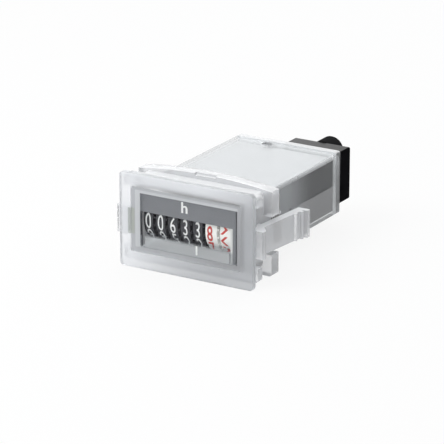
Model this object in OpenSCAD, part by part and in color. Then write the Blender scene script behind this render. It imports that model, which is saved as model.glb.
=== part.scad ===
// Panel hour meter with number wheels, clear housing and slide-on clamp frame.
// Millimetres. +Y runs from the panel into the cabinet, +X to the right seen from the front, +Z up.
// The origin is the middle of the bezel's back face, which lies on the panel.

/* [Front] */
// Width of the bezel plate
bezel_w = 37; // [34:0.5:44]
// Height of the bezel plate
bezel_h = 23.7; // [21.5:0.1:30]
// Thickness of the bezel plate
bezel_t = 1.5; // [1.2:0.1:2.5]
// Corner radius of the bezel plate
bezel_r = 0.9; // [0.3:0.1:2]
// Depth of the step round the window
window_step = 0.35; // [0.1:0.05:0.5]

/* [Body] */
// Width of the housing tube, which is the width of the panel cut-out
body_w = 28.8; // [28:0.1:32]
// Height of the housing tube
body_h = 16.2; // [16:0.1:18]
// Length of the housing tube behind the panel
body_l = 46.6; // [46:0.2:60]
// How far the tube sits above the bezel's middle
body_lift = 0.55; // [0:0.05:1]
// Wall thickness of the tube
wall = 0.9; // [0.7:0.05:1.1]
// Thickness of the rear cover
cover_t = 1.9; // [1:0.1:2.5]

/* [Clamp frame] */
// How far the clamp frame stands behind the bezel as shown
clamp_gap = 0.9; // [0.6:0.1:3]
// Width of the clamp frame over its rims
clamp_w = 37.2; // [36:0.2:44]
// Height of the clamp frame over its rims
clamp_h = 21.9; // [21:0.1:26]
// Thickness of the front rim
front_rim_t = 2.3; // [1.5:0.1:3]
// Clear width between the two rims
rim_space = 4; // [3:0.5:6]
// Thickness of the rear rim
rear_rim_t = 3.4; // [2:0.1:4]
// How far the rear rim's top is arched
rim_arch = 1.3; // [0.5:0.1:1.5]
// Height of each lever arm
arm_h = 6.9; // [5:0.1:8]
// Thickness of each lever arm
arm_t = 1.9; // [1.5:0.1:2.2]
// How far each arm leans out towards its rear end
arm_flare = 1.7; // [0:0.1:2]
// Pitch of the ratchet teeth
tooth_pitch = 1; // [0.8:0.1:1.5]
// Number of ratchet teeth on each side
teeth_count = 17; // [10:1:20]

/* [Counter] */
// Number of whole-hour wheels
hour_wheels = 5; // [5:1:5]
// Radius of the axle the wheels turn on
axle_r = 1; // [0.8:0.05:1.1]
// Radius of the carry pinions' pin
carry_pin_r = 0.7; // [0.5:0.05:0.8]

/* [Rear connection] */
// Width of the black terminal housing
block_w = 15.8; // [13:0.2:17]
// Height of the black terminal housing
block_h = 13.4; // [12:0.1:15]
// Depth of the black terminal housing
block_d = 5.2; // [4.5:0.1:7]
// Outside diameter of the cable sleeve
sleeve_d = 6.8; // [5.6:0.1:7]
// Length of the cable sleeve behind the terminal housing
sleeve_l = 4.8; // [4:0.2:10]
// Bore of the cable sleeve
sleeve_bore = 3.4; // [2.8:0.1:3.8]

/* [Hidden] */
$fn = 48;
// Running clearance of a wheel on its pin, on the radius
run_gap = 0.04;
// Clearance between the clamp frame and the tube
slide_gap = 0.25;
// Clearance between a moving wheel and its neighbour
side_gap = 0.17;
// Clearance of the snap tongues and pins in their openings
snap_gap = 0.1;
// Small overlap that joins two shapes of one piece
join = 0.05;

// Inside of the tube
in_w = body_w - 2 * wall;
in_h = body_h - 2 * wall;
in_x = in_w / 2;
in_top = body_lift + in_h / 2;
in_bot = body_lift - in_h / 2;
glass_y = -window_step;
tube_r = 0.6;

// Side plates of the movement
plate_t = 0.55;
plate_x = in_x - plate_t;
plate_y0 = 0.3;
plate_y1 = body_l - 0.9;
plate_top = in_top - 0.75;
plate_bot = in_bot + 0.3;
deck_t = 0.7;

// Number wheels, laid from left to right along the axle
step_w = 2 * plate_x / 7.5;
low_w = 1.165 * step_w;
groove = 0.9;
wheel_r = in_h / 2 - 0.5;
rim_t = 0.7;
axle_y = glass_y + 0.75 + wheel_r;
axle_z = body_lift - 0.3;
hub_r = axle_r + 0.65;
ring_teeth = 20;
ring_m = 2 * (wheel_r - 0.7) / ring_teeth;
ring_t = 0.45;
disc_t = 0.25;
disc_r = wheel_r - 1.5;

function rim_w(i) = (i < hour_wheels ? step_w : low_w) - groove;
function rim_x(i) = -plate_x + side_gap + min(i, hour_wheels) * step_w
    + max(0, i - hour_wheels) * low_w;

// Carry pinions between neighbouring wheels
carry_teeth = 8;
carry_cd = ring_m * (ring_teeth + carry_teeth) / 2;
carry_a = -25;
carry_y = axle_y + carry_cd * cos(carry_a);
carry_z = axle_z + carry_cd * sin(carry_a);
carry_w = 0.6;

// Gear train from the motor to the run indicator
run_i = hour_wheels + 1;
run_end = rim_x(run_i) + rim_w(run_i);
drive_m = (wheel_r - 0.7) / 20;
drive_teeth = 40;
wheel_teeth = 24;
pinion_teeth = 10;
gear_t = 0.4;
cd_gap = 0.05;
cd_run = drive_m * (drive_teeth + pinion_teeth) / 2 + cd_gap;
cd_step = drive_m * (wheel_teeth + pinion_teeth) / 2 + cd_gap;
a_second = 14;
a_first = -13;
a_rotor = -10;
second_y = axle_y + cd_run * cos(a_second);
second_z = axle_z + cd_run * sin(a_second);
first_y = second_y + cd_step * cos(a_first);
first_z = second_z + cd_step * sin(a_first);
rotor_y = first_y + cd_step * cos(a_rotor);
rotor_z = first_z + cd_step * sin(a_rotor);
layer_1 = run_end - 0.8;
layer_2 = run_end;
layer_3 = run_end + 0.6;
gear_pin_r = 0.5;
shaft_r = 0.5;

// Motor
magnet_r = 8 * drive_m;
air_gap = 0.35;
stator_t = 10 * drive_m;
stator_x = layer_1 - 1.9 * stator_t;
pole_h = magnet_r + 2.5;
arm_in = magnet_r + 0.5;
pole_t = 0.4;
end_wall = 0.8;
pin_s = 0.8;
pin_y0 = plate_y1 - end_wall - pin_s - 0.5;
flange_t = 0.5;
flange_out = 2.3;
core_d = stator_t - 0.2;
core_y = pin_y0 - flange_out - core_d - 0.35;
stator_y0 = rotor_y - magnet_r - air_gap - pole_t;
stator_y1 = core_y + core_d;
bobbin_t = 0.5;
bobbin_h = arm_in - 0.05;
post_w = 1.5;
bearing_t = 0.7;
bearing_x = stator_x - 0.4 * stator_t;

// Circuit board and its parts
board_t = 0.8;
board_z = plate_bot + 0.35;
board_top = board_z + board_t;
board_x = plate_x - 0.45;
board_y0 = stator_y0 - 2;
board_y1 = plate_y1 - end_wall - 0.4;
board_l = board_y1 - board_y0;
pin_z = board_top + 1.8;
pin_step = block_w / 3;
rail_w = 1;
can_r = board_x / 12.5;
cap_r = board_x / 5;
chip_w = board_x / 2.5;

// Snap tongue of the rear cover and its window in the tube
snap_x = -body_w / 6.5;
snap_w = body_w / 14;
snap_l = 1.7;
snap_y = body_l - 1.6 * snap_l;
plug_l = 0.6;

// Clamp frame
rim_y0 = clamp_gap;
rim_y1 = rim_y0 + front_rim_t;
rim_y2 = rim_y1 + rim_space;
rim_y3 = rim_y2 + rear_rim_t;
tooth_h = 0.4;
open_w = body_w + 2 * (tooth_h + slide_gap);
open_h = body_h + 2 * slide_gap;
sleeve_t = 1.2;
arm_z = -0.7;
arm_x = clamp_w / 2 - arm_t;
arm_y0 = 0.1;
arm_y1 = rim_y3 + 9.9;
notch_gap = 1.3;
notch_h = arm_h + 2 * notch_gap;
foot_out = 1.9;
tab_out = 1.2;
grip_r = 0.5;
arch_r = clamp_w * clamp_w / 8 / rim_arch;

// Terminal housing and cable sleeve
block_x = body_w / 2 - block_w / 2;
block_drop = 0.45;
block_z = body_lift + body_h / 2 - block_h / 2 - block_drop;
block_y = body_l + cover_t;
block_wall = 1;
neck_r = sleeve_d / 2 - 0.9;
spout_z = body_lift + body_h / 2 - sleeve_d / 2 - 0.1;

// Rectangle with rounded corners, centred
module round_rect(w, h, r) {
    square([w - 2 * r, h], center = true);
    square([w, h - 2 * r], center = true);
    for (x = [-1, 1], y = [-1, 1])
        translate([x * (w / 2 - r), y * (h / 2 - r)])
            circle(r);
}

// Flat piece standing across Y, from y0 to y1
module slab(w, h, y0, y1, r = 0.5) {
    translate([0, y1, 0])
        rotate([90, 0, 0])
            linear_extrude(y1 - y0)
                round_rect(w, h, r);
}

// Box from one corner to the other
module block(a, b) {
    translate(a)
        cube([b[0] - a[0], b[1] - a[1], b[2] - a[2]]);
}

// Drawing in Y and Z, carried along X from x0 to x1
module along_x(x0, x1) {
    translate([x0, 0, 0])
        rotate([90, 0, 90])
            linear_extrude(x1 - x0)
                children();
}

// Round bar along X
module bar_x(y, z, r, x0, x1) {
    translate([x0, y, z])
        rotate([0, 90, 0])
            cylinder(r = r, h = x1 - x0);
}

// Outline of a toothed wheel with a tooth turned to angle a
module tooth_ring(teeth, m, a, fill = 0.4) {
    pitch = 360 / teeth;
    rp = m * teeth / 2;
    rt = rp + 0.85 * m;
    rf = rp - m;
    polygon([for (i = [0:teeth - 1], k = [0:3])
        let (t = a + i * pitch + [-1.2, -0.5, 0.5, 1.2][k] * fill * pitch / 2,
            r = (k == 0 || k == 3) ? rf : rt)
        [r * cos(t), r * sin(t)]]);
}

// Saw-tooth rack along Y, growing towards +X
module rack(y0) {
    linear_extrude(in_h - 3, center = true)
        polygon(concat([[-join, y0]],
            [for (i = [0:teeth_count - 1], k = [0:1])
                [k == 0 ? 0 : tooth_h, y0 + (i + k * 0.85) * tooth_pitch]],
            [[0, y0 + teeth_count * tooth_pitch], [-join, y0 + teeth_count * tooth_pitch]]));
}

module housing() {
    color([0.9, 0.93, 0.95, 0.45]) {
        difference() {
            union() {
                slab(bezel_w, bezel_h, -bezel_t, 0, bezel_r);
                translate([0, 0, body_lift])
                    slab(body_w, body_h, -bezel_t / 2, body_l, tube_r);
                for (s = [0, 1])
                    mirror([s, 0, 0])
                        translate([body_w / 2, 0, body_lift])
                            rack(clamp_gap + 0.4);
            }
            translate([0, 0, body_lift])
                slab(in_w, in_h, glass_y, body_l + 1, tube_r / 2);
            // step in the front face round the window
            translate([0, 0, body_lift])
                slab(body_w + 1.6, body_h - 0.1, -bezel_t - 1, -bezel_t + window_step, tube_r);
            // window for the rear cover's snap tongue
            block([snap_x - snap_w / 2, snap_y, in_top - wall],
                [snap_x + snap_w / 2, snap_y + snap_l, in_top + 2 * wall]);
        }
        // ledge under the window, clear of the wheels
        along_x(-plate_x + groove, run_end - 0.1)
            polygon([[glass_y - join, axle_z - wheel_r / 2], [glass_y - join, in_bot - join],
                [axle_y - wheel_r * 0.6, in_bot - join],
                [axle_y - wheel_r * 0.8 - 0.6, axle_z - wheel_r * 0.8],
                [glass_y + 0.6, axle_z - wheel_r / 2]]);
    }
}

module rear_cover() {
    plug_y = body_l - plug_l;
    tongue_w = snap_w / 2 - 2 * snap_gap;
    hook_y = snap_y + 2 * snap_gap;
    tongue_z = in_top - snap_gap;
    color([0.9, 0.93, 0.95, 0.45])
        difference() {
            union() {
                translate([0, 0, body_lift])
                    slab(body_w, body_h, body_l, body_l + cover_t, tube_r);
                translate([0, 0, body_lift])
                    difference() {
                        slab(in_w - 2 * snap_gap, in_h - 2 * snap_gap, plug_y, body_l + join, 0.3);
                        slab(in_w - 2 * wall, in_h - 2 * wall, plug_y - 1, body_l - 0.2, 0.3);
                    }
                // snap tongue with its hook in the window of the tube
                block([snap_x - tongue_w, hook_y, tongue_z - wall / 2],
                    [snap_x + tongue_w, plug_y + join, tongue_z]);
                block([snap_x - tongue_w, hook_y, tongue_z - join],
                    [snap_x + tongue_w, hook_y + snap_l / 2, in_top + wall / 2]);
            }
            for (s = [-1, 1])
                translate([block_x + s * pin_step / 2, body_l, pin_z])
                    cube([pin_s + 2 * snap_gap, 4 * cover_t, pin_s + 2 * snap_gap], center = true);
        }
}

module clamp_frame() {
    side_x = open_w / 2 + sleeve_t;
    arch_top = clamp_h / 2 + rim_arch / 2;
    color([0.88, 0.92, 0.95, 0.5]) {
        difference() {
            union() {
                translate([0, 0, 0.1])
                    slab(clamp_w - 0.2, clamp_h - 0.4, rim_y0, rim_y1, 1);
                // rear rim with an arched top
                intersection() {
                    translate([0, 0, 0.1 + rim_arch / 4])
                        slab(clamp_w, clamp_h + rim_arch / 2, rim_y2, rim_y3, 0.6);
                    translate([0, 0, arch_top - arch_r])
                        rotate([-90, 0, 0])
                            cylinder(r = arch_r, h = 2 * rim_y3, $fn = 360);
                }
                translate([0, 0, body_lift])
                    slab(2 * side_x, open_h + 2 * sleeve_t, rim_y0 + 0.1, rim_y3 - 0.1, 1);
            }
            translate([0, 0, body_lift])
                slab(open_w, open_h, rim_y0 - 1, rim_y3 + 1, tube_r);
            // both rims are cut away where the arms pass, the front one beside the whole tube
            for (s = [-1, 1]) {
                translate([s * (side_x + 5), 0, arm_z])
                    cube([10, 3 * rim_y3, notch_h], center = true);
                translate([s * (side_x + 5), 0, body_lift])
                    cube([10, 2 * rim_y1 + rim_space, open_h - 1.6], center = true);
            }
            // break in the top of the rear rim
            block([-2.6, rim_y2 - 1, arch_top - 0.5], [3.2, rim_y2 + 0.9, clamp_h]);
        }
        for (s = [0, 1])
            mirror([s, 0, 0])
                lever_arm(side_x);
    }
}

// One lever arm with its foot, pawl, web and ribbed finger tab, on the +X side
module lever_arm(side_x) {
    bend_y = rim_y0 + 2.8;
    end_x = arm_x + arm_flare;
    translate([0, 0, arm_z - arm_h / 2]) {
        linear_extrude(arm_h)
            polygon([[arm_x + 0.4, arm_y0], [arm_x + arm_t + foot_out - 0.3, arm_y0],
                [arm_x + arm_t + foot_out, arm_y0 + 0.5],
                [arm_x + arm_t + foot_out - 0.1, arm_y0 + 1.4],
                [arm_x + arm_t, bend_y], [end_x + arm_t, arm_y1 - 1.4],
                [end_x + arm_t + tab_out, arm_y1 - 1.1], [end_x + arm_t + tab_out, arm_y1],
                [end_x, arm_y1], [arm_x, bend_y]]);
        // pawl that reaches towards the ratchet teeth
        linear_extrude(arm_h)
            polygon([[open_w / 2 - slide_gap + 0.1, arm_y0 + 0.6], [arm_x + 1, arm_y0],
                [arm_x + 1, rim_y0 - 0.15], [open_w / 2 - slide_gap + 0.1, rim_y0 - 0.15]]);
        // web that joins the arm to the sleeve
        translate([side_x - 0.3, rim_y1 + 0.4, 0])
            cube([arm_x - side_x + 0.9, 1.6, arm_h]);
        // grip ribs ahead of the finger tab
        for (i = [1, 2])
            translate([end_x + arm_t + (0.7 - 0.5 * i) * tab_out / 1.2, arm_y1 - 0.2 - 2.1 * i, 0])
                cylinder(r = grip_r, h = arm_h);
    }
}

module dial_mask() {
    color([0.42, 0.43, 0.46])
        difference() {
            block([-in_x + 0.2, glass_y, in_bot + 0.2], [in_x - 0.2, glass_y + 0.4, in_top - 0.2]);
            block([rim_x(0) - 0.05, glass_y - 1, in_bot], [run_end + 0.2, glass_y + 1, axle_z + 2.1]);
        }
}

module movement_frame() {
    color([0.93, 0.93, 0.9])
        difference() {
            union() {
                block([-in_x, plate_y0, plate_bot], [-plate_x, plate_y1, plate_top]);
                block([-in_x, axle_y + wheel_r + 0.5, plate_top - deck_t], [plate_x, plate_y1, plate_top]);
                block([-in_x, plate_y1 - end_wall, pin_z + 2 * pin_s], [plate_x, plate_y1, plate_top]);
                // wall that carries the rotor's left end
                block([bearing_x - bearing_t, stator_y0, rotor_z - magnet_r],
                    [bearing_x, rotor_y + magnet_r + air_gap, plate_top - join]);
                // posts that hold the stator
                for (y = [rotor_y + magnet_r, core_y - post_w])
                    block([stator_x + stator_t / 4, y, rotor_z + pole_h],
                        [stator_x + 3 * stator_t / 4, y + post_w, plate_top - join]);
                // rails under the circuit board
                for (y = [board_y0 + rail_w, board_y1 - 2 * rail_w])
                    block([-in_x, y, plate_bot], [plate_x, y + rail_w, board_z]);
            }
            bar_x(axle_y, axle_z, axle_r, -in_x - 1, 0);
            bar_x(carry_y, carry_z, carry_pin_r, -in_x - 1, 0);
            bar_x(rotor_y, rotor_z, shaft_r + run_gap, bearing_x - 2 * bearing_t, bearing_x + bearing_t);
        }
}

module gear_plate() {
    color([0.25, 0.26, 0.28])
        difference() {
            block([plate_x, plate_y0, plate_bot], [in_x, plate_y1, plate_top]);
            bar_x(axle_y, axle_z, axle_r, 0, in_x + 1);
            bar_x(carry_y, carry_z, carry_pin_r, 0, in_x + 1);
            bar_x(second_y, second_z, gear_pin_r, 0, in_x + 1);
            bar_x(first_y, first_z, gear_pin_r, 0, in_x + 1);
            bar_x(rotor_y, rotor_z, shaft_r + run_gap, 0, in_x + 1);
        }
}

module drum_axle() {
    color([0.75, 0.76, 0.78])
        bar_x(axle_y, axle_z, axle_r, -in_x, in_x);
}

module carry_pin() {
    color([0.75, 0.76, 0.78])
        bar_x(carry_y, carry_z, carry_pin_r, -in_x, in_x);
}

// Number wheel i: rim, web, hub, driven ring on its right and locking disc on its left
module number_wheel(i, shade) {
    x0 = rim_x(i);
    w = rim_w(i);
    color(shade)
        difference() {
            union() {
                difference() {
                    bar_x(axle_y, axle_z, wheel_r, x0, x0 + w);
                    bar_x(axle_y, axle_z, wheel_r - rim_t, x0 - 1, x0 + w / 2 - 0.3);
                    bar_x(axle_y, axle_z, wheel_r - rim_t, x0 + w / 2 + 0.3, x0 + w + 1);
                }
                bar_x(axle_y, axle_z, hub_r, x0 - (i > 0 ? disc_t : 0), x0 + w + groove - disc_t - 0.1);
                if (i > 0)
                    difference() {
                        bar_x(axle_y, axle_z, disc_r, x0 - disc_t, x0 + join);
                        translate([x0, axle_y, axle_z + disc_r])
                            rotate([0, 90, 0])
                                cylinder(r = 0.9, h = 3, center = true);
                    }
                // the disc stands on a collar that reaches the web
                if (i > 0)
                    bar_x(axle_y, axle_z, hub_r + 1.2, x0 - disc_t, x0 + w / 2);
                difference() {
                    translate([0, axle_y, axle_z])
                        along_x(x0 + w - join, x0 + w + (i == run_i ? gear_t : ring_t))
                            if (i == run_i)
                                tooth_ring(drive_teeth, drive_m, a_second);
                            else
                                tooth_ring(ring_teeth, ring_m, carry_a);
                    bar_x(axle_y, axle_z, wheel_r - rim_t - 1.1, x0, x0 + w + 1);
                }
                // shoulder that ties the ring to the rim
                difference() {
                    bar_x(axle_y, axle_z, wheel_r - rim_t + join, x0 + w / 2 - 0.2, x0 + w);
                    bar_x(axle_y, axle_z, wheel_r - rim_t - 1.1, x0, x0 + w + 1);
                }
            }
            bar_x(axle_y, axle_z, axle_r + run_gap, -body_w, body_w);
        }
}

module hour_wheel_1() {
    number_wheel(0, [0.06, 0.06, 0.07]);
}

module hour_wheel_2() {
    number_wheel(1, [0.06, 0.06, 0.07]);
}

module hour_wheel_3() {
    number_wheel(2, [0.06, 0.06, 0.07]);
}

module hour_wheel_4() {
    number_wheel(3, [0.06, 0.06, 0.07]);
}

module hour_wheel_5() {
    number_wheel(4, [0.06, 0.06, 0.07]);
}

module tenths_wheel() {
    number_wheel(5, [0.93, 0.92, 0.9]);
}

module run_wheel() {
    number_wheel(6, [0.93, 0.92, 0.9]);
}

// Carry pinion to the right of wheel i, always in mesh with that wheel's ring
module carry_pinion(i) {
    mid = rim_x(i) + rim_w(i) + groove / 2;
    color([0.85, 0.83, 0.76])
        translate([0, carry_y, carry_z])
            difference() {
                along_x(mid - carry_w / 2, mid + carry_w / 2)
                    tooth_ring(carry_teeth, ring_m, carry_a + 180 + 180 / carry_teeth);
                bar_x(0, 0, carry_pin_r + run_gap, -body_w, body_w);
            }
}

module carry_pinion_1() {
    carry_pinion(0);
}

module carry_pinion_2() {
    carry_pinion(1);
}

module carry_pinion_3() {
    carry_pinion(2);
}

module carry_pinion_4() {
    carry_pinion(3);
}

module carry_pinion_5() {
    carry_pinion(4);
}

module carry_pinion_6() {
    carry_pinion(5);
}

module gear_pins() {
    color([0.75, 0.76, 0.78]) {
        bar_x(second_y, second_z, gear_pin_r, layer_2 - 0.3, in_x);
        bar_x(first_y, first_z, gear_pin_r, layer_1 - 0.3, in_x);
    }
}

module second_gear() {
    color([0.86, 0.8, 0.62])
        translate([0, second_y, second_z])
            difference() {
                union() {
                    along_x(layer_2 + snap_gap, layer_3 + join)
                        tooth_ring(pinion_teeth, drive_m, a_second + 180 + 180 / pinion_teeth);
                    along_x(layer_3, layer_3 + gear_t)
                        tooth_ring(wheel_teeth, drive_m, a_first);
                }
                bar_x(0, 0, gear_pin_r + run_gap, 0, body_w);
            }
}

module first_gear() {
    color([0.86, 0.8, 0.62])
        translate([0, first_y, first_z])
            difference() {
                union() {
                    along_x(layer_1, layer_1 + gear_t)
                        tooth_ring(wheel_teeth, drive_m, a_rotor);
                    bar_x(0, 0, 0.95, layer_1, layer_3 + 0.1);
                    along_x(layer_3, layer_3 + gear_t)
                        tooth_ring(pinion_teeth, drive_m, a_first + 180 + 180 / pinion_teeth);
                }
                bar_x(0, 0, gear_pin_r + run_gap, 0, body_w);
            }
}

module rotor() {
    color([0.35, 0.35, 0.38])
        translate([0, rotor_y, rotor_z]) {
            bar_x(0, 0, magnet_r, stator_x - stator_t / 10, stator_x + 1.1 * stator_t);
            bar_x(0, 0, shaft_r, bearing_x - bearing_t, in_x);
            along_x(layer_1 - 0.05, layer_1 + gear_t + 0.05)
                tooth_ring(pinion_teeth, drive_m, a_rotor + 180 + 180 / pinion_teeth);
        }
}

module stator() {
    color([0.6, 0.61, 0.63])
        translate([0, 0, rotor_z])
            along_x(stator_x, stator_x + stator_t)
                difference() {
                    translate([stator_y0, -pole_h])
                        square([stator_y1 - stator_y0, 2 * pole_h]);
                    translate([rotor_y, 0])
                        circle(magnet_r + air_gap);
                    translate([stator_y0 - 1, -0.5])
                        square([core_y - stator_y0, 1]);
                    translate([rotor_y + magnet_r + air_gap + pole_t, -arm_in])
                        square([core_y - rotor_y - magnet_r - air_gap - pole_t, 2 * arm_in]);
                }
}

module coil_bobbin() {
    mid_y = core_y + core_d / 2;
    mid_x = stator_x + stator_t / 2;
    color([0.2, 0.2, 0.22])
        translate([mid_x, mid_y, rotor_z])
            difference() {
                union() {
                    cube([stator_t + 2 * bobbin_t, core_d + 2 * bobbin_t, 2 * bobbin_h], center = true);
                    for (s = [-1, 1])
                        translate([0, 0, s * (bobbin_h - flange_t / 2)])
                            cube([stator_t + 2 * flange_out, core_d + 2 * flange_out, flange_t], center = true);
                }
                cube([stator_t, core_d, 4 * bobbin_h], center = true);
            }
}

module coil_winding() {
    mid_y = core_y + core_d / 2;
    mid_x = stator_x + stator_t / 2;
    wind_h = 2 * (bobbin_h - flange_t);
    color([0.72, 0.4, 0.18])
        translate([mid_x, mid_y, rotor_z - wind_h / 2])
            linear_extrude(wind_h)
                difference() {
                    round_rect(stator_t + 2 * flange_out - 0.6, core_d + 2 * flange_out - 0.6, 1.2);
                    square([stator_t + 2 * bobbin_t, core_d + 2 * bobbin_t], center = true);
                }
}

module circuit_board() {
    color([0.12, 0.4, 0.2])
        block([-board_x, board_y0, board_z], [board_x, board_y1, board_top]);
}

module timer_chip() {
    color([0.08, 0.08, 0.09])
        block([-chip_w, board_y0 + chip_w, board_top], [0, board_y0 + 1.8 * chip_w, board_top + chip_w / 3]);
}

module quartz() {
    color([0.8, 0.8, 0.82])
        translate([-0.8 * chip_w, board_y0 + board_l / 2, board_top + can_r])
            rotate([-90, 0, 0])
                cylinder(r = can_r, h = 6 * can_r);
}

module capacitor() {
    color([0.1, 0.12, 0.2])
        translate([-board_x + 1.5 * cap_r, board_y0 + board_l / 5, board_top + cap_r])
            rotate([-90, 0, 0])
                cylinder(r = cap_r, h = 3.2 * cap_r);
}

module terminal_pins() {
    color([0.8, 0.66, 0.3])
        for (s = [-1, 1])
            translate([block_x + s * pin_step / 2 - pin_s / 2, 0, 0]) {
                block([0, pin_y0, board_top], [pin_s, pin_y0 + pin_s, pin_z + pin_s / 2]);
                block([0, pin_y0, pin_z - pin_s / 2], [pin_s, block_y + block_d / 2, pin_z + pin_s / 2]);
            }
}

module terminal_housing() {
    color([0.07, 0.07, 0.08])
        difference() {
            translate([block_x, 0, block_z])
                slab(block_w, block_h, block_y, block_y + block_d, 0.4);
            translate([block_x, 0, block_z])
                slab(block_w - 2 * block_wall, block_h - 2 * block_wall, block_y - 1,
                    block_y + block_d - block_wall, 0.3);
            translate([block_x, 0, spout_z])
                rotate([-90, 0, 0])
                    cylinder(r = neck_r, h = 2 * body_l);
        }
}

module cable_sleeve() {
    seat_y = block_y + block_d;
    flat_z = block_z + block_h / 2 - block_wall - snap_gap - spout_z;
    color([0.05, 0.05, 0.06])
        translate([block_x, 0, spout_z])
            rotate([-90, 0, 0])
                difference() {
                    union() {
                        translate([0, 0, seat_y])
                            cylinder(r = sleeve_d / 2, h = sleeve_l);
                        translate([0, 0, seat_y - block_wall - 0.6])
                            cylinder(r = neck_r, h = block_wall + 1);
                        translate([0, 0, seat_y - block_wall - 0.8])
                            cylinder(r = neck_r + 0.3, h = 0.8);
                    }
                    translate([0, 0, block_y])
                        cylinder(r = sleeve_bore / 2, h = 2 * body_l);
                    // flat on the inner collar, clear of the terminal housing's top wall
                    translate([-sleeve_d, -sleeve_d - flat_z, block_y])
                        cube([2 * sleeve_d, sleeve_d, block_d - block_wall]);
                }
}

housing();
rear_cover();
clamp_frame();
dial_mask();
movement_frame();
gear_plate();
drum_axle();
hour_wheel_1();
hour_wheel_2();
hour_wheel_3();
hour_wheel_4();
hour_wheel_5();
tenths_wheel();
run_wheel();
carry_pin();
carry_pinion_1();
carry_pinion_2();
carry_pinion_3();
carry_pinion_4();
carry_pinion_5();
carry_pinion_6();
gear_pins();
second_gear();
first_gear();
rotor();
stator();
coil_bobbin();
coil_winding();
circuit_board();
timer_chip();
quartz();
capacitor();
terminal_pins();
terminal_housing();
cable_sleeve();
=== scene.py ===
import math

import bmesh
import bpy
from mathutils import Matrix, Vector


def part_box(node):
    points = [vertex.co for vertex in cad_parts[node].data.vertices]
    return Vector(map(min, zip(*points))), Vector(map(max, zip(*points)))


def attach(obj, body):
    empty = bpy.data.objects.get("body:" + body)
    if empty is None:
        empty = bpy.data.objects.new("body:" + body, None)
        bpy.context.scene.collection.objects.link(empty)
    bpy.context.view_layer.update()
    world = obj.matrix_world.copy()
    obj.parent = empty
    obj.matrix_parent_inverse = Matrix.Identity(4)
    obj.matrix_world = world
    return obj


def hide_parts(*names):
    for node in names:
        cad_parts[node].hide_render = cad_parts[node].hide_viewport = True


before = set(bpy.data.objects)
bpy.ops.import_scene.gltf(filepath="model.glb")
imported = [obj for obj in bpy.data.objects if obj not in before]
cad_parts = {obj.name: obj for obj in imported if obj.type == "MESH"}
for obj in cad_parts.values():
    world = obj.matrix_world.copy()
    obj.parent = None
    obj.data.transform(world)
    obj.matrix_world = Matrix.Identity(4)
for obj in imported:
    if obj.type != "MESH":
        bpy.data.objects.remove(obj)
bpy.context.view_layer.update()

# Sizes and places are in millimetres unless a line says otherwise
MM = 0.001
RIGHT, LEFT = (1, 0, 0), (-1, 0, 0)
FRONT, BACK = (0, -1, 0), (0, 1, 0)
UP, DOWN = (0, 0, 1), (0, 0, -1)
Y_AXIS, Z_AXIS = 1, 2
# Places nearer than this count as one, in metres
SAME = 1e-7
# A face looks across a direction below the first share of its normal, and along it above the second
LOOKS_ACROSS, LOOKS_ALONG = 0.2, 0.9
# Edges that bend more than the first are sharp, and faces that bend less than the second are one, in degrees
SHARP_DEG, FLAT_DEG = 40.0, 1.0

# Housing, from its node and from the rear cover, which is as wide and as high as the tube
housing_lo, housing_hi = (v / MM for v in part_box("housing"))
cover_lo, cover_hi = (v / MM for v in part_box("rear_cover"))
BEZEL_W, BEZEL_H = housing_hi.x - housing_lo.x, housing_hi.z - housing_lo.z
BEZEL_T, BEZEL_R = -housing_lo.y, 0.9
TUBE_W, TUBE_H, TUBE_L = cover_hi.x - cover_lo.x, cover_hi.z - cover_lo.z, housing_hi.y
TUBE_WALL = 0.9
LIFT = (cover_lo.z + cover_hi.z) / 2
# Gap at the tube's end, and play of the clear walls round the parts inside
END_GAP, PLAY = 0.05, 0.03

# Recess in the bezel, the lip in it and the window pane
STEP_W, STEP_H, STEP_X, STEP_Z, STEP_D = 30.6, 16.35, -0.1, 0.42, 0.35
LIP_W, LIP_H, LIP_X, LIP_Z = 28.5, 14.4, -0.05, 0.65
PANE_W, PANE_H, PANE_X, PANE_Z = 27.0, 13.55, 0.55, 0.375
PANE_BACK = -0.42

# Heights on the tube's sides: haze below the first, a hazy edge with a painted shade above the last, and above
# the other a pale band on the left, which goes on over the roof as far as LEFT_X
SIDE_LINE, LEFT_LINE, EDGE_LINE = 0.4, 6.2, 7.2
LEFT_X = -13.9

# Ratchet teeth; the tip lies at a share of the pitch
TOOTH_PITCH, TOOTH_H, TEETH, TOOTH_Y0, TOOTH_Z = 1.0, 0.4, 17, 1.3, 5.7
TOOTH_TIP, TOOTH_GAP = 0.15, 0.02

# Opening for the rear cover's hook
LATCH_X, LATCH_W, LATCH_Y, LATCH_L = -4.431, 2.057, 43.88, 1.7

# Ledge behind the pane, with its outline in Y and Z, and the tick on it
LEDGE_X0, LEDGE_X1 = -12.05, 11.53
LEDGE_OUTLINE = [(-0.36, -2.9), (-0.36, -6.6), (3.0, -6.6), (1.14, -5.11), (0.25, -2.9)]
TICK_X, TICK_Z, TICK_W, TICK_H, TICK_R = 2.5, -4.85, 0.5, 2.3, 0.12
TICK_Y0, TICK_Y1 = -0.395, -0.37

# Counter, from the axle and the wheels
axle_lo, axle_hi = (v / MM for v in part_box("drum_axle"))
wheel_lo, wheel_hi = (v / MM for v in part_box("run_wheel"))
AXLE_Y, AXLE_Z = (axle_lo.y + axle_hi.y) / 2, (axle_lo.z + axle_hi.z) / 2
WHEEL_R = (wheel_hi.z - wheel_lo.z) / 2

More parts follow.
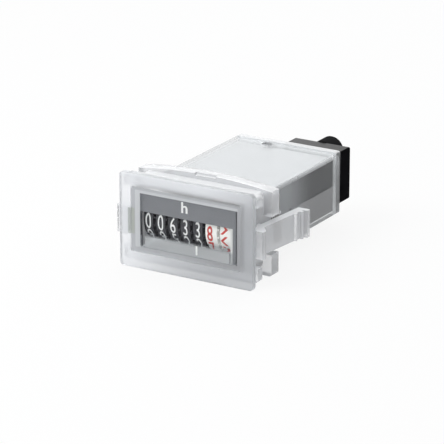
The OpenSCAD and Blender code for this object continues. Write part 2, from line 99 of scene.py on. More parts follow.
# Printed numbers: what shows, and how far their middle lies from the wheel's right side
NUMBERS = 10
HOUR_SHOWN, HOUR_INSET = (0, 0, 6, 3, 3), 1.8265
TENTHS_SHOWN, TENTHS_INSET = 8, 2.4598
HOUR_FORM = {"tall": 4.0, "wide": 1.5, "heavy": 0.002, "sink_deg": -2.2}
TENTHS_FORM = {"tall": 3.9, "wide": 1.5, "heavy": 0.012, "sink_deg": -4.6}
INK_T, INK_LIFT, INK_STRIP = 0.03, 0.012, 0.35
# Points of a character nearer than this are one, in the font's own units
CHAR_SAME = 1e-5

# Arrow heads of the running indicator, and the unit mark on the mask
CHEVRONS, CHEVRON_INSET, CHEVRON_TURN_DEG = 14, 2.5829, 10.3
CHEVRON_W, CHEVRON_H, CHEVRON_STROKE, CHEVRON_SLANT = 2.05, 2.6, 0.6, 1.25
MARK_X, MARK_Y, MARK_Z = -0.85, -0.36, 5.3
MARK_TALL, MARK_WIDE, MARK_HEAVY = 2.8, 2.0, 0.02

# Terminal housing
BLOCK_WALL, BLOCK_R = 1.0, 0.4

# Camera that was solved for the photo
AZIMUTH_DEG, ELEVATION_DEG = 30.927, 19.049
AIM_Y, AIM_RIGHT, AIM_UP, DISTANCE = 18.5, -1.582, -3.484, 678.4
SENSOR, LENS = 36.0, 226.62


# Mesh helpers

def lies_at(face, axis, place):
    """Whether a face lies across an axis at a place."""
    return all(abs(v.co[axis] - place * MM) < SAME for v in face.verts)


def face_at(bm, y):
    """The largest face that lies across Y at y."""
    return max((f for f in bm.faces if lies_at(f, Y_AXIS, y)), key=lambda f: f.calc_area())


def slab(bm, w, h, y0, y1, r, cx=0.0, cz=0.0, turns=5):
    """Plate across Y with rounded long edges; returns its front and back faces."""
    verts = bmesh.ops.create_cube(bm, size=1.0)["verts"]
    bmesh.ops.scale(bm, vec=(w * MM, (y1 - y0) * MM, h * MM), verts=verts)
    bmesh.ops.translate(bm, vec=(cx * MM, (y0 + y1) / 2 * MM, cz * MM), verts=verts)
    edges = {e for v in verts for e in v.link_edges if abs(e.verts[0].co.y - e.verts[1].co.y) > SAME}
    bmesh.ops.bevel(bm, geom=list(edges), offset=r * MM, offset_type="OFFSET", affect="EDGES",
                    segments=turns, profile=0.5, material=-1, clamp_overlap=True)
    return face_at(bm, y0), face_at(bm, y1)


def fit(bm, face, w, h, cx=0.0, cz=0.0):
    """Scales and moves a face across Y to a w by h outline."""
    verts = list(face.verts)
    lo = Vector([min(v.co[i] for v in verts) for i in range(3)])
    hi = Vector([max(v.co[i] for v in verts) for i in range(3)])
    mid, size = (lo + hi) / 2, hi - lo
    bmesh.ops.scale(bm, vec=(w * MM / size.x, 1, h * MM / size.z), verts=verts,
                    space=Matrix.Translation(-mid))
    bmesh.ops.translate(bm, vec=(cx * MM - mid.x, 0, cz * MM - mid.z), verts=verts)


def ring_step(bm, face, w, h, cx=0.0, cz=0.0, inset=0.2):
    """Insets a face and fits the inner face to a w by h outline."""
    bmesh.ops.inset_region(bm, faces=[face], thickness=inset * MM, depth=0.0,
                           use_even_offset=True, use_boundary=True)
    fit(bm, face, w, h, cx, cz)
    return face


def push(bm, face, to_y):
    """Extrudes a face across Y to a new Y."""
    new = bmesh.ops.extrude_discrete_faces(bm, faces=[face])["faces"][0]
    bmesh.ops.translate(bm, vec=(0, to_y * MM - new.calc_center_median().y, 0), verts=list(new.verts))
    return new


def prism(bm, points, way):
    """Carries a flat outline along a vector."""
    face = bm.faces.new([bm.verts.new(Vector(point) * MM) for point in points])
    made = bmesh.ops.extrude_face_region(bm, geom=[face], use_keep_orig=True)["geom"]
    verts = [part for part in made if isinstance(part, bmesh.types.BMVert)]
    bmesh.ops.translate(bm, vec=Vector(way) * MM, verts=verts)


def cut(bm, faces, place, way):
    """Splits faces along the plane across a direction at a place."""
    parts = {e for f in faces for e in f.edges} | {v for f in faces for v in f.verts}
    bmesh.ops.bisect_plane(bm, geom=faces + list(parts), plane_co=Vector(place) * MM, plane_no=way,
                           dist=SAME)


def piece(name, bm, body, finishes, edge=0.0, turns=2):
    """Closes a mesh into a named piece that rides on a body."""
    bmesh.ops.remove_doubles(bm, verts=bm.verts, dist=SAME)
    bmesh.ops.recalc_face_normals(bm, faces=bm.faces)
    mesh = bpy.data.meshes.new(name)
    bm.to_mesh(mesh)
    bm.free()
    for finish in finishes:
        mesh.materials.append(finish)
    mesh.shade_smooth()
    mesh.set_sharp_from_angle(angle=math.radians(SHARP_DEG))
    obj = bpy.data.objects.new(name, mesh)
    bpy.context.collection.objects.link(obj)
    if edge:
        soften(obj, edge, turns)
    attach(obj, body)
    return obj


def soften(obj, width, turns=2):
    """Small moulded radius on every sharp edge."""
    mod = obj.modifiers.new("edge_radius", "BEVEL")
    mod.width = width * MM
    mod.segments = turns
    mod.limit_method = "ANGLE"
    mod.angle_limit = math.radians(SHARP_DEG)
    mod.use_clamp_overlap = True
    mod.harden_normals = True


def dress(nodes, finish, edge=0.0):
    """Gives CAD nodes their finish and, where asked, a small edge radius."""
    for name in nodes:
        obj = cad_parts[name]
        obj.data.materials.clear()
        obj.data.materials.append(finish)
        if edge:
            weld = obj.modifiers.new("weld", "WELD")
            weld.merge_threshold = 10 * SAME
            flat = obj.modifiers.new("flat_faces", "DECIMATE")
            flat.decimate_type = "DISSOLVE"
            flat.angle_limit = math.radians(FLAT_DEG)
            soften(obj, edge)


# Finish helpers

# Noise lies mostly between these values, and all bumps have one strength
NOISE_LOW, NOISE_HIGH, BUMP = 0.3, 0.7, 0.6
# A moulded surface's broad grain as a multiple of its fine one, and the spread of its roughness
BROAD, ROUGH_SPREAD = 14, 0.18
# Ripple of clear plastic, and the spread of its roughness and its tint
RIPPLE, CLEAR_SPREAD, TINT_SPREAD = 6.0, 0.2, 0.015


def new_finish(name):
    """A new material with its nodes, links and main shader."""
    mat = bpy.data.materials.new(name)
    mat.use_nodes = True
    nodes, links = mat.node_tree.nodes, mat.node_tree.links
    return mat, nodes, links, nodes["Principled BSDF"]


def grain(nodes, links, size_mm, detail=3.0, stretch=(1, 1, 1)):
    """Noise on Object coordinates with a grain of about size_mm."""
    place = nodes.new("ShaderNodeTexCoord")
    turn = nodes.new("ShaderNodeMapping")
    turn.inputs["Scale"].default_value = stretch
    noise = nodes.new("ShaderNodeTexNoise")
    noise.inputs["Scale"].default_value = 1 / (size_mm * MM)
    noise.inputs["Detail"].default_value = detail
    links.new(place.outputs["Object"], turn.inputs["Vector"])
    links.new(turn.outputs["Vector"], noise.inputs["Vector"])
    return noise.outputs["Fac"]


def mapped(nodes, links, value, start, end, first, last, smooth=False):
    """Runs from first to last while a value goes from start to end."""
    span = nodes.new("ShaderNodeMapRange")
    if smooth:
        span.interpolation_type = "SMOOTHSTEP"
    span.inputs["From Min"].default_value = start
    span.inputs["From Max"].default_value = end
    span.inputs["To Min"].default_value = first
    span.inputs["To Max"].default_value = last
    links.new(value, span.inputs["Value"])
    return span.outputs["Result"]


def spread(nodes, links, noise, low, high):
    """Maps a noise value to a range."""
    return mapped(nodes, links, noise, NOISE_LOW, NOISE_HIGH, low, high)


def dotted(nodes, links, vector, way):
    """Share of a vector along a direction."""
    dot = nodes.new("ShaderNodeVectorMath")
    dot.operation = "DOT_PRODUCT"
    dot.inputs[1].default_value = way
    links.new(vector, dot.inputs[0])
    return dot.outputs["Value"]


def joined(nodes, links, operation, one, two):
    """Two values joined by a math operation."""
    join = nodes.new("ShaderNodeMath")
    join.operation = operation
    links.new(one, join.inputs[0])
    links.new(two, join.inputs[1])
    return join.outputs["Value"]


def tone(nodes, links, noise, dark, pale):
    """Blends two shades of one colour by a noise value."""
    mix = nodes.new("ShaderNodeMix")
    mix.data_type = "RGBA"
    mix.inputs["A"].default_value = (*dark, 1)
    mix.inputs["B"].default_value = (*pale, 1)
    links.new(spread(nodes, links, noise, 0, 1), mix.inputs["Factor"])
    return mix.outputs["Result"]


def along(nodes, links, way, start_mm, end_mm, first=0.0, last=1.0, both_sides=False):
    """Runs from first to last along a direction of the piece, or out to both sides of its middle."""
    place = nodes.new("ShaderNodeTexCoord")
    reach = dotted(nodes, links, place.outputs["Object"], way)
    if both_sides:
        size = nodes.new("ShaderNodeMath")
        size.operation = "ABSOLUTE"
        links.new(reach, size.inputs[0])
        reach = size.outputs["Value"]
    return mapped(nodes, links, reach, start_mm * MM, end_mm * MM, first, last, smooth=True)


def overlaid(nodes, links, colour, spans, shade):
    """Lays a shade over a colour where all spans, each with the arguments of along, have been passed."""
    inside = along(nodes, links, *spans[0])
    for span in spans[1:]:
        inside = joined(nodes, links, "MULTIPLY", inside, along(nodes, links, *span))
    mix = nodes.new("ShaderNodeMix")
    mix.data_type = "RGBA"
    mix.inputs["B"].default_value = (*shade, 1)
    links.new(inside, mix.inputs["Factor"])
    links.new(colour, mix.inputs["A"])
    return mix.outputs["Result"]


def relief(nodes, links, noise, depth_mm, shader):
    """Bumps of a given depth on a shader."""
    bump = nodes.new("ShaderNodeBump")
    bump.inputs["Strength"].default_value = BUMP
    bump.inputs["Distance"].default_value = depth_mm * MM
    links.new(noise, bump.inputs["Height"])
    links.new(bump.outputs["Normal"], shader.inputs["Normal"])


def facing(nodes, links, way, low, high):
    """Runs from low on faces across a direction to high on faces that look along it."""
    form = nodes.new("ShaderNodeNewGeometry")
    share = dotted(nodes, links, form.outputs["Normal"], way)
    return mapped(nodes, links, share, LOOKS_ACROSS, LOOKS_ALONG, low, high)


def blended(nodes, links, share, first, second):
    """Goes from a first shader to a second one by a share."""
    mix = nodes.new("ShaderNodeMixShader")
    links.new(share, mix.inputs["Fac"])
    links.new(first, mix.inputs[1])
    links.new(second, mix.inputs[2])
    return mix.outputs["Shader"]


def moulded(name, shade, rough, grain_mm=0.35, depth_mm=0.01, vary=0.08, metal=0.0, specular=0.5,
            stretch=(1, 1, 1), zones=()):
    """Moulded or machined surface: fine grain in its gloss and relief, broad grain in its shade.
    zones are (spans, shade) where it has other shades."""
    mat, nodes, links, shader = new_finish(name)
    fine = grain(nodes, links, grain_mm, stretch=stretch)
    broad = grain(nodes, links, grain_mm * BROAD)
    dark = tuple(c * (1 - vary) for c in shade)
    pale = tuple(min(1.0, c * (1 + vary)) for c in shade)
    colour = tone(nodes, links, broad, dark, pale)
    for zone in zones:
        colour = overlaid(nodes, links, colour, *zone)
    links.new(colour, shader.inputs["Base Color"])
    low, high = rough * (1 - ROUGH_SPREAD), min(1.0, rough * (1 + ROUGH_SPREAD))
    links.new(spread(nodes, links, fine, low, high), shader.inputs["Roughness"])
    relief(nodes, links, fine, depth_mm, shader)
    shader.inputs["Metallic"].default_value = metal
    shader.inputs["Specular IOR Level"].default_value = specular
    return mat


def see_through(name, tint, milk, rough, bend, ripple_mm=0.004, lets_light=0.9, zones=(),
                clearing=None, milk_up=None, up=UP):
    """Clear moulded plastic; milk is the share of white haze in it, and milk_up that of faces that look up.
    zones are (spans, tint) where the haze has other tints, or a painted shade or painted light, some of it for
    what lies behind, and clearing is (direction, start, end) where the haze goes over into clear plastic."""
    mat, nodes, links, shader = new_finish(name)
    ripple = grain(nodes, links, RIPPLE, detail=1.0)
    shade = tone(nodes, links, ripple, tuple(c * (1 - TINT_SPREAD) for c in tint), tint)
    for zone in zones:
        shade = overlaid(nodes, links, shade, *zone)
    links.new(shade, shader.inputs["Base Color"])
    low, high = rough * (1 - CLEAR_SPREAD), rough * (1 + CLEAR_SPREAD)
    links.new(spread(nodes, links, ripple, low, high), shader.inputs["Roughness"])
    relief(nodes, links, ripple, ripple_mm, shader)
    shader.inputs["IOR"].default_value = bend
    shader.inputs["Transmission Weight"].default_value = 1.0 - milk
    if milk_up is not None:
        links.new(facing(nodes, links, up, 1.0 - milk, 1.0 - milk_up), shader.inputs["Transmission Weight"])
    if clearing:
        links.new(along(nodes, links, *clearing, 1.0 - milk, 1.0), shader.inputs["Transmission Weight"])
    clear = nodes.new("ShaderNodeBsdfTransparent")
    clear.inputs["Color"].default_value = (*(c * lets_light for c in tint), 1)
    path = nodes.new("ShaderNodeLightPath")
    soft_light = joined(nodes, links, "MAXIMUM", path.outputs["Is Shadow Ray"],
                        path.outputs["Is Diffuse Ray"])
    surface = blended(nodes, links, soft_light, shader.outputs["BSDF"], clear.outputs["BSDF"])
    links.new(surface, nodes["Material Output"].inputs["Surface"])
    return mat


# Clear plastics

# Down to the right the bezel and its recess ring darken, a painted shade
SHADE_DOWN_RIGHT = (0.75, 0.0, -0.66)
# Where the left arm lies behind the bezel; a painted shade there stands in for the arm seen through it
ARM_SHADE = [(LEFT, 14.3, 14.6), (RIGHT, -16.3, -16.0), (UP, -3.5, -3.2), (DOWN, -3.3, -3.0)]

# The bezel is milky haze with a painted shade down to the right and where the arm lies behind
bezel_haze_and_shade = see_through("bezel_haze_and_shade", (0.91, 0.92, 0.935), milk=0.28, rough=0.42, bend=1.35,
                         ripple_mm=0.0015,
                         zones=[([(SHADE_DOWN_RIGHT, -6.0, 13.0)], (0.64, 0.65, 0.665)), (ARM_SHADE, (0.48, 0.505, 0.47))])
# The recess ring is haze whose grey is a painted shade for the tube wall seen through it, darker down to the
# right and where the arm lies behind
ring_haze_and_shade = see_through("ring_haze_and_shade", (0.47, 0.48, 0.5), milk=0.85, rough=0.4, bend=1.2, ripple_mm=0.0015,
                        zones=[([(SHADE_DOWN_RIGHT, 0.0, 14.0)], (0.38, 0.385, 0.4)), (ARM_SHADE, (0.42, 0.44, 0.41))])
lip_haze = see_through("lip_haze", (0.58, 0.595, 0.61), milk=0.85, rough=0.4, bend=1.2, ripple_mm=0.0015)
window_clear = see_through("window_clear", (0.985, 0.99, 0.99), milk=0.0, rough=0.02, bend=1.14,
                           ripple_mm=0.001, lets_light=0.97)
ledge_haze = see_through("ledge_haze", (0.93, 0.94, 0.95), milk=0.33, rough=0.08, bend=1.03,
                         clearing=(UP, -4.4, -3.1))
tube_clear = see_through("tube_clear", (0.97, 0.98, 0.985), milk=0.02, rough=0.05, bend=1.2, lets_light=0.95)
side_haze = see_through("side_haze", (0.97, 0.975, 0.985), milk=0.22, rough=0.12, bend=1.25, lets_light=0.95)
# The band along the tube's upper edge is grey haze, a painted shade for the dark plate seen through the wall,
# darker towards the front
edge_haze_and_shade = see_through("edge_haze_and_shade", (0.72, 0.725, 0.735), milk=0.55, rough=0.3, bend=1.2, lets_light=0.95,
                        zones=[([(FRONT, -44.0, -16.0)], (0.55, 0.555, 0.565))])
edge_pale = see_through("edge_pale", (0.86, 0.865, 0.87), milk=0.3, rough=0.25, bend=1.04, lets_light=0.95)
# Teeth have a painted shade at the root: pale at the tip and dark at the root, on both sides
TOOTH_ROOT_SHADE = [(RIGHT, 14.5, 14.72, 1.0, 0.0, True)]
tooth_haze_and_shade = see_through("tooth_haze_and_shade", (0.93, 0.92, 0.915), milk=0.6, rough=0.2, bend=1.2,
                         zones=[(TOOTH_ROOT_SHADE, (0.3, 0.285, 0.28))])
# The clamp frame is haze with painted light: paler towards the bottom, where its lower parts lie in shade, and
# milkier on faces that look up, so that they read paler as if lit from above
frame_haze_and_light = see_through("frame_haze_and_light", (0.9, 0.905, 0.915), milk=0.3, rough=0.14, bend=1.32, milk_up=0.8,
                         zones=[([(DOWN, -1.0, 7.0)], (0.99, 0.99, 0.995))])
# The rear cover is hazy towards the front and the top, and darker at both sides
COVER_SIDES = [(RIGHT, 14.2, 14.35, 0.0, 1.0, True)]
cover_clear = see_through("cover_clear", (0.95, 0.955, 0.96), milk=0.4, rough=0.15, bend=1.3,
                          milk_up=0.75, up=(0, -1, 1),
                          zones=[(COVER_SIDES, (0.38, 0.385, 0.395))])

# Dial mask: its left leg is black beside the first wheel, and its right leg has a pale inner border
LEFT_LEG = [(LEFT, 12.8, 12.9), (DOWN, -2.45, -2.3), (UP, -3.8, -3.5)]
RIGHT_BORDER = [(RIGHT, 11.7, 11.75), (LEFT, -12.5, -12.35), (DOWN, -2.4, -2.3)]
mask_grey = moulded("mask_grey", (0.19, 0.195, 0.21), 0.55, vary=0.04,
                    zones=[(LEFT_LEG, (0.03, 0.03, 0.034)), (RIGHT_BORDER, (0.4, 0.41, 0.42)),
                           (RIGHT_BORDER + [(UP, -4.2, -3.2)], (0.66, 0.66, 0.65))])

# Other plastics, inks and metals
# Walls of the opening for the cover's hook: an opaque grey, a painted shade for the dark look of the clear
# wall's edge
latch_painted_shade = moulded("latch_painted_shade", (0.5, 0.505, 0.515), 0.4, vary=0.04)
frame_white = moulded("frame_white", (0.75, 0.75, 0.755), 0.5, vary=0.02)
plate_dark = moulded("plate_dark", (0.026, 0.028, 0.031), 0.6, depth_mm=0.004, vary=0.12, specular=0.04,
                     zones=[([(FRONT, -36.0, -21.0)], (0.33, 0.335, 0.345))])
wheel_black = moulded("wheel_black", (0.055, 0.055, 0.062), 0.55, vary=0.15, specular=0.3)
wheel_white = moulded("wheel_white", (0.93, 0.92, 0.89), 0.5, vary=0.02)
ink_white = moulded("ink_white", (0.86, 0.86, 0.85), 0.6, grain_mm=0.15, vary=0.03)
ink_red = moulded("ink_red", (0.55, 0.06, 0.05), 0.6, grain_mm=0.15, vary=0.1)
gear_natural = moulded("gear_natural", (0.72, 0.69, 0.6), 0.42, vary=0.03)
pin_steel = moulded("pin_steel", (0.62, 0.63, 0.65), 0.22, metal=1.0, vary=0.04, stretch=(1, 12, 12))
core_steel = moulded("core_steel", (0.42, 0.43, 0.45), 0.34, metal=1.0, vary=0.06, stretch=(9, 1, 1))
magnet_dark = moulded("magnet_dark", (0.09, 0.09, 0.1), 0.4, metal=0.6, vary=0.1)
wire_copper = moulded("wire_copper", (0.62, 0.28, 0.12), 0.32, grain_mm=0.12, metal=0.9, vary=0.12,
                      stretch=(0.05, 0.05, 1))
board_green = moulded("board_green", (0.02, 0.11, 0.05), 0.35, vary=0.2)
chip_black = moulded("chip_black", (0.015, 0.015, 0.016), 0.55)
can_steel = moulded("can_steel", (0.6, 0.61, 0.63), 0.28, metal=1.0, vary=0.05)
sleeve_blue = moulded("sleeve_blue", (0.02, 0.025, 0.05), 0.35, vary=0.1)
pin_brass = moulded("pin_brass", (0.72, 0.55, 0.24), 0.28, metal=1.0, vary=0.06)
# Terminal block: its top is a paler, glossier copy of the black as painted light, and its sides a darker copy
# without reflection as painted shade
block_black_and_shade = moulded("block_black_and_shade", (0.007, 0.007, 0.008), 0.6, grain_mm=0.2, vary=0.2, specular=0.0)
block_gloss_and_light = moulded("block_gloss_and_light", (0.014, 0.014, 0.015), 0.3, grain_mm=0.2, depth_mm=0.004, vary=0.2,
                      specular=0.29)
rubber_black = moulded("rubber_black", (0.02, 0.02, 0.021), 0.6, grain_mm=0.25, vary=0.2, specular=0.0)


# Housing: bezel, window pane, tube, ledge and ratchet teeth

def latch_window(bm):
    """Opening in the tube's top for the rear cover's hook; returns its walls."""
    roof = LIFT + TUBE_H / 2
    ceiling = roof - TUBE_WALL + PLAY
    x0, x1 = LATCH_X - LATCH_W / 2, LATCH_X + LATCH_W / 2
    y0, y1 = LATCH_Y, LATCH_Y + LATCH_L

    def tops():
        return [f for f in bm.faces if lies_at(f, Z_AXIS, roof) or lies_at(f, Z_AXIS, ceiling)]

    for place, way in (((x0, 0, 0), RIGHT), ((x1, 0, 0), RIGHT), ((0, y0, 0), BACK), ((0, y1, 0), BACK)):
        cut(bm, tops(), place, way)
    hole = [f for f in tops() if x0 * MM < f.calc_center_median().x < x1 * MM
            and y0 * MM < f.calc_center_median().y < y1 * MM]
    edges = list({e for f in hole for e in f.edges})
    bmesh.ops.delete(bm, geom=hole, context="FACES_ONLY")
    return set(bmesh.ops.bridge_loops(bm, edges=edges)["faces"])


def tube_finish(face, mid):
    """Finish of a face of the tube: both outer sides are hazy below, and hazy with a painted shade along their
    upper edge.
    """
    outer = abs(face.normal.x) > LOOKS_ALONG and abs(mid.x) > (TUBE_W - TUBE_WALL) / 2 * MM
    if mid.z > LEFT_LINE * MM and mid.x < LEFT_X * MM:
        return edge_pale
    if outer and mid.z < SIDE_LINE * MM:
        return side_haze
    if outer and mid.z > EDGE_LINE * MM:
        return edge_haze_and_shade
    return tube_clear


def shell_finish(face, panes, lip, hole_walls):
    """Finish of a face of the housing; the lip shows on the left and the top only."""
    mid = face.calc_center_median()
    if face in panes:
        return window_clear
    if face in hole_walls:
        return latch_painted_shade
    if mid.y > SAME:
        return tube_finish(face, mid)
    if abs(mid.y - (-BEZEL_T + STEP_D) * MM) < SAME:
        left_or_top = mid.x < (PANE_X - PANE_W / 2) * MM or mid.z > (PANE_Z + PANE_H / 2) * MM
        return lip_haze if face in lip and left_or_top else ring_haze_and_shade
    return bezel_haze_and_shade


def housing_shell():
    """Bezel, pane and tube in one moulding."""
    bm = bmesh.new()
    front, back = slab(bm, BEZEL_W, BEZEL_H, -BEZEL_T, 0.0, BEZEL_R)
    tube = ring_step(bm, back, TUBE_W, TUBE_H, cz=LIFT)
    rear = push(bm, tube, TUBE_L - END_GAP)
    bore = TUBE_WALL - PLAY
    mouth = ring_step(bm, rear, TUBE_W - 2 * bore, TUBE_H - 2 * bore, cz=LIFT)
    pane_back = push(bm, mouth, PANE_BACK)
    step = ring_step(bm, front, STEP_W, STEP_H, cx=STEP_X, cz=STEP_Z)
    step = push(bm, step, -BEZEL_T + STEP_D)
    step = ring_step(bm, step, LIP_W, LIP_H, cx=LIP_X, cz=LIP_Z)
    before = set(bm.faces)
    pane = ring_step(bm, step, PANE_W, PANE_H, cx=PANE_X, cz=PANE_Z)
    lip = set(bm.faces) - before
    hole_walls = latch_window(bm)
    for line in (SIDE_LINE, LEFT_LINE, EDGE_LINE):
        sides = [f for f in bm.faces if f.calc_center_median().y > SAME and abs(f.normal.x) > LOOKS_ALONG]
        cut(bm, sides, (0, 0, line), UP)
    roof = [f for f in bm.faces if lies_at(f, Z_AXIS, LIFT + TUBE_H / 2)]
    cut(bm, roof, (LEFT_X, 0, 0), RIGHT)
    finishes = [bezel_haze_and_shade, window_clear, tube_clear, ring_haze_and_shade, side_haze, lip_haze, edge_haze_and_shade,
                latch_painted_shade, edge_pale]
    for f in bm.faces:
        f.material_index = finishes.index(shell_finish(f, (pane, pane_back), lip, hole_walls))
    obj = piece("housing_shell", bm, "meter", finishes, edge=0.12)
    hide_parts("housing")


def window_ledge():
    """Hazy ledge behind the pane, below the wheels."""
    bm = bmesh.new()
    prism(bm, [(LEDGE_X0, y, z) for y, z in LEDGE_OUTLINE], (LEDGE_X1 - LEDGE_X0, 0, 0))
    piece("window_ledge", bm, "meter", [ledge_haze], edge=0.08)


def ratchet(name, side):
    """Row of teeth on one side of the tube, with their steep sides to the front."""
    bm = bmesh.new()
    wall = side * (TUBE_W / 2 + TOOTH_GAP)
    tip = side * (TUBE_W / 2 + TOOTH_H)
    z = LIFT - TOOTH_Z
    for i in range(TEETH):
        y = TOOTH_Y0 + i * TOOTH_PITCH
        y_tip, y_end = y + TOOTH_TIP * TOOTH_PITCH, y + TOOTH_PITCH - TOOTH_GAP
        prism(bm, [(wall, y, z), (tip, y_tip, z), (wall, y_end, z)], (0, 0, 2 * TOOTH_Z))
    piece(name, bm, "meter", [tooth_haze_and_shade])


# Printed marks

def flat_char(char, heavy):
    """A flat character as a bmesh with its middle at the origin, and its width and height."""
    curve = bpy.data.curves.new("mark", "FONT")
    curve.body = char
    curve.offset = heavy
    obj = bpy.data.objects.new("mark", curve)
    bpy.context.collection.objects.link(obj)
    bpy.context.view_layer.update()
    mesh = bpy.data.meshes.new_from_object(obj.evaluated_get(bpy.context.evaluated_depsgraph_get()))
    bpy.data.objects.remove(obj)
    bpy.data.curves.remove(curve)
    bm = bmesh.new()
    bm.from_mesh(mesh)
    bpy.data.meshes.remove(mesh)
    bmesh.ops.remove_doubles(bm, verts=bm.verts, dist=CHAR_SAME)
    xs, ys = [v.co.x for v in bm.verts], [v.co.y for v in bm.verts]
    middle = Vector((max(xs) + min(xs), max(ys) + min(ys), 0)) / 2
    bmesh.ops.translate(bm, vec=-middle, verts=bm.verts)
    return bm, max(xs) - min(xs), max(ys) - min(ys)


def glyph(char, tall, wide, heavy):
    """A flat character as a bmesh; tall and wide are a zero's size."""
    zero, zero_w, zero_h = flat_char("0", heavy)
    zero.free()
    bm = flat_char(char, heavy)[0]
    bmesh.ops.scale(bm, vec=(wide * MM / zero_w, tall * MM / zero_h, 1), verts=bm.verts)
    return bm


def onto_wheel(ring, mark, x, turn_deg):
    """Cuts a flat mark into strips, bends it round the wheel at an angle and joins it to a ring."""
    top = max(v.co.y for v in mark.verts)
    line = -top
    while line < top:
        bmesh.ops.bisect_plane(mark, geom=mark.verts[:] + mark.edges[:] + mark.faces[:],
                               plane_co=(0, line, 0), plane_no=BACK, dist=SAME / 10)
        line += INK_STRIP * MM
    bmesh.ops.solidify(mark, geom=mark.faces[:], thickness=-INK_T * MM)
    turn = math.radians(turn_deg)
    for v in mark.verts:
        a = turn + v.co.y / (WHEEL_R * MM)
        r = (WHEEL_R + INK_LIFT) * MM + v.co.z
        v.co = (x * MM + v.co.x, AXLE_Y * MM - r * math.cos(a), AXLE_Z * MM + r * math.sin(a))
    mesh = bpy.data.meshes.new("strip")
    mark.to_mesh(mesh)
    mark.free()
    ring.from_mesh(mesh)
    bpy.data.meshes.remove(mesh)


def number_ring(name, body, slot, x, shown, ink, tall, wide, heavy, sink_deg):
    """Numbers round one wheel, the shown one in front and sunk by an angle."""
    ring = bmesh.new()
    for number in range(NUMBERS):
        turn_deg = (number - shown) * 360.0 / NUMBERS + sink_deg
        onto_wheel(ring, glyph(str(number), tall, wide, heavy), x, turn_deg)
    piece(name, ring, body, [ink])


def chevron(point_right):
    """A flat arrow head as a bmesh, its middle at the origin."""
    bm = bmesh.new()
    half, rise, band = CHEVRON_W / 2, CHEVRON_H / 2, CHEVRON_STROKE * CHEVRON_SLANT
    outline = [(-half, rise), (-half + band, rise), (half, 0), (-half + band, -rise), (-half, -rise),
               (half - band, 0)]
    if not point_right:
        outline = [(-u, v) for u, v in reversed(outline)]
    bm.faces.new([bm.verts.new((u * MM, v * MM, 0)) for u, v in outline])
    return bm


def chevron_ring():
    """Arrow heads round the running indicator, by turns to the right and to the left."""
    ring = bmesh.new()
    for i in range(CHEVRONS):
        turn_deg = i * 360.0 / CHEVRONS + CHEVRON_TURN_DEG
        onto_wheel(ring, chevron(i % 2 == 0), wheel_hi.x - CHEVRON_INSET, turn_deg)
    piece("run_chevrons", ring, "run_wheel", [ink_red])


def point_tick():
    """White tick on the ledge that parts the tenths from the hours."""
    bm = bmesh.new()
    slab(bm, TICK_W, TICK_H, TICK_Y0, TICK_Y1, TICK_R, cx=TICK_X, cz=TICK_Z, turns=2)
    piece("point_tick", bm, "meter", [ink_white])


def hour_mark():
    """The unit mark on the mask's front."""
    bm = glyph("h", MARK_TALL, MARK_WIDE, MARK_HEAVY)
    bmesh.ops.solidify(bm, geom=bm.faces[:], thickness=-INK_T * MM)
    bmesh.ops.rotate(bm, cent=(0, 0, 0), matrix=Matrix.Rotation(math.radians(90), 3, "X"), verts=bm.verts)
    bmesh.ops.translate(bm, vec=Vector((MARK_X, MARK_Y, MARK_Z)) * MM, verts=bm.verts)
    piece("hour_mark", bm, "meter", [ink_white])


# Terminal housing

def terminal_block():
    """Black housing over the terminals, open to the front: smooth and glossy on top with a paler black as
    painted light, and matt on its sides, darker and without reflection as painted shade.
    """
    lo, hi = (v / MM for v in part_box("terminal_housing"))
    w, h, cx, cz = hi.x - lo.x, hi.z - lo.z, (lo.x + hi.x) / 2, (lo.z + hi.z) / 2
    bm = bmesh.new()
    front = slab(bm, w, h, lo.y, hi.y, BLOCK_R, cx=cx, cz=cz)[0]
    mouth = ring_step(bm, front, w - 2 * BLOCK_WALL, h - 2 * BLOCK_WALL, cx=cx, cz=cz)
    push(bm, mouth, hi.y - BLOCK_WALL)
    finishes = [block_black_and_shade, block_gloss_and_light]
    for f in bm.faces:
        f.material_index = finishes.index(block_gloss_and_light if lies_at(f, Z_AXIS, hi.z) else block_black_and_shade)
    obj = piece("terminal_block", bm, "meter", finishes, edge=0.18, turns=3)
    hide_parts("terminal_housing")


housing_shell()
window_ledge()
terminal_block()
ratchet("ratchet_right", side=1)
ratchet("ratchet_left", side=-1)

for i, shown in enumerate(HOUR_SHOWN, 1):
    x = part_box(f"hour_wheel_{i}")[1].x / MM - HOUR_INSET
    number_ring(f"hour_numbers_{i}", f"hour_wheel_{i}", "black_wheel", x, shown, ink_white, **HOUR_FORM)
number_ring("tenths_numbers", "tenths_wheel", "white_wheel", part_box("tenths_wheel")[1].x / MM - TENTHS_INSET,
            TENTHS_SHOWN, ink_red, **TENTHS_FORM)
chevron_ring()
point_tick()
hour_mark()

dress(["clamp_frame"], frame_haze_and_light, edge=0.15)
dress(["rear_cover"], cover_clear, edge=0.12)
dress(["dial_mask"], mask_grey, edge=0.05)
dress(["movement_frame"], frame_white, edge=0.08)
dress(["gear_plate"], plate_dark)
dress([f"hour_wheel_{i}" for i in range(1, 6)], wheel_black)
dress(["tenths_wheel", "run_wheel"], wheel_white)
dress([f"carry_pinion_{i}" for i in range(1, 7)] + ["second_gear", "first_gear"], gear_natural)
dress(["drum_axle", "carry_pin", "gear_pins"], pin_steel)
dress(["rotor"], magnet_dark)
dress(["stator"], core_steel)
dress(["coil_bobbin"], plate_dark, edge=0.08)
dress(["coil_winding"], wire_copper)
dress(["circuit_board"], board_green)
dress(["timer_chip"], chip_black, edge=0.1)
dress(["quartz"], can_steel, edge=0.15)
dress(["capacitor"], sleeve_blue, edge=0.3)
dress(["terminal_pins"], pin_brass, edge=0.08)
dress(["cable_sleeve"], rubber_black, edge=0.3)


# Studio

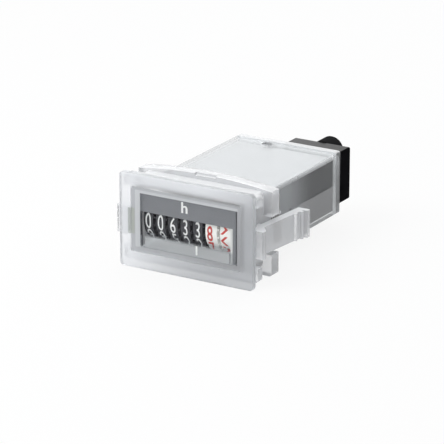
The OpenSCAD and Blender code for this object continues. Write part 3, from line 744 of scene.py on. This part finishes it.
def studio_world(fill):
    """Soft light all round, which looks white straight, in gloss and through glass."""
    world = bpy.data.worlds.new("studio")
    bpy.context.scene.world = world
    world.use_nodes = True
    nodes, links = world.node_tree.nodes, world.node_tree.links
    nodes.clear()
    soft = nodes.new("ShaderNodeBackground")
    soft.inputs["Color"].default_value = (0.97, 0.985, 1.0, 1)
    soft.inputs["Strength"].default_value = fill
    white = nodes.new("ShaderNodeBackground")
    white.inputs["Color"].default_value = (1, 1, 1, 1)
    white.inputs["Strength"].default_value = 1.0
    path = nodes.new("ShaderNodeLightPath")
    straight = joined(nodes, links, "MAXIMUM", path.outputs["Is Camera Ray"], path.outputs["Is Glossy Ray"])
    seen = joined(nodes, links, "MAXIMUM", straight, path.outputs["Is Transmission Ray"])
    out = nodes.new("ShaderNodeOutputWorld")
    surface = blended(nodes, links, seen, soft.outputs["Background"], white.outputs["Background"])
    links.new(surface, out.inputs["Surface"])


def studio_floor(middle, half, keep_white, keep_in_glass):
    """White floor with the object's shadow; the two shares say how white it stays to the eye and in glass."""
    bm = bmesh.new()
    bmesh.ops.create_grid(bm, x_segments=4, y_segments=4, size=half * MM)
    bmesh.ops.translate(bm, vec=Vector(middle) * MM, verts=bm.verts)
    mesh = bpy.data.meshes.new("floor")
    bm.to_mesh(mesh)
    bm.free()
    mat, nodes, links, shader = new_finish("floor_white")
    matt = spread(nodes, links, grain(nodes, links, size_mm=4.0), low=0.55, high=0.65)
    links.new(matt, shader.inputs["Roughness"])
    shader.inputs["Base Color"].default_value = (0.86, 0.86, 0.86, 1)
    shader.inputs["Specular IOR Level"].default_value = 0.1
    glow = nodes.new("ShaderNodeEmission")
    glow.inputs["Strength"].default_value = 1.0
    path = nodes.new("ShaderNodeLightPath")
    through = joined(nodes, links, "MAXIMUM", path.outputs["Is Glossy Ray"],
                     path.outputs["Is Transmission Ray"])
    dimmed = nodes.new("ShaderNodeMath")
    dimmed.operation = "MULTIPLY"
    dimmed.inputs[1].default_value = keep_in_glass
    links.new(through, dimmed.inputs[0])
    white = nodes.new("ShaderNodeMath")
    white.operation = "MULTIPLY_ADD"
    white.inputs[1].default_value = keep_white
    links.new(path.outputs["Is Camera Ray"], white.inputs[0])
    links.new(dimmed.outputs["Value"], white.inputs[2])
    surface = blended(nodes, links, white.outputs["Value"], shader.outputs["BSDF"], glow.outputs["Emission"])
    links.new(surface, nodes["Material Output"].inputs["Surface"])
    mesh.materials.append(mat)
    obj = bpy.data.objects.new("floor", mesh)
    bpy.context.collection.objects.link(obj)


def soft_lamp(name, place, aim, size, power):
    """Round area lamp at a place in metres that looks at another."""
    data = bpy.data.lights.new(name, "AREA")
    data.shape = "DISK"
    data.size = size
    data.energy = power
    obj = bpy.data.objects.new(name, data)
    obj.location = place
    obj.rotation_euler = (Vector(aim) - Vector(place)).to_track_quat("-Z", "Y").to_euler()
    bpy.context.collection.objects.link(obj)


def photo_camera():
    """Camera at the photo's angle and distance."""
    azimuth, elevation = math.radians(AZIMUTH_DEG), math.radians(ELEVATION_DEG)
    right = Vector((math.cos(azimuth), math.sin(azimuth), 0))
    back = Vector((math.sin(azimuth) * math.cos(elevation),
                   -math.cos(azimuth) * math.cos(elevation), math.sin(elevation)))
    up = back.cross(right)
    target = Vector((0, AIM_Y * MM, 0)) + right * (AIM_RIGHT * MM) + up * (AIM_UP * MM)
    eye = target + back * (DISTANCE * MM)
    data = bpy.data.cameras.new("camera")
    data.sensor_width = SENSOR
    data.lens = LENS
    data.clip_start, data.clip_end = 0.01, 20.0
    obj = bpy.data.objects.new("camera", data)
    obj.matrix_world = Matrix(((right.x, up.x, back.x, eye.x), (right.y, up.y, back.y, eye.y),
                               (right.z, up.z, back.z, eye.z), (0, 0, 0, 1)))
    bpy.context.collection.objects.link(obj)
    bpy.context.scene.camera = obj


studio_world(fill=0.6)
studio_floor(middle=(0, 20, -12), half=1500, keep_white=0.88, keep_in_glass=0.7)
soft_lamp("key", place=(-0.24, -0.22, 0.34), aim=(0, 0.02, 0), size=0.35, power=1.15)
soft_lamp("front_fill", place=(0.12, -0.56, 0.06), aim=(0, 0, 0), size=0.4, power=0.6)
soft_lamp("rear_top", place=(-0.08, 0.3, 0.42), aim=(0, 0.02, 0), size=0.35, power=0.6)
photo_camera()
bpy.context.scene.view_settings.view_transform = "Standard"
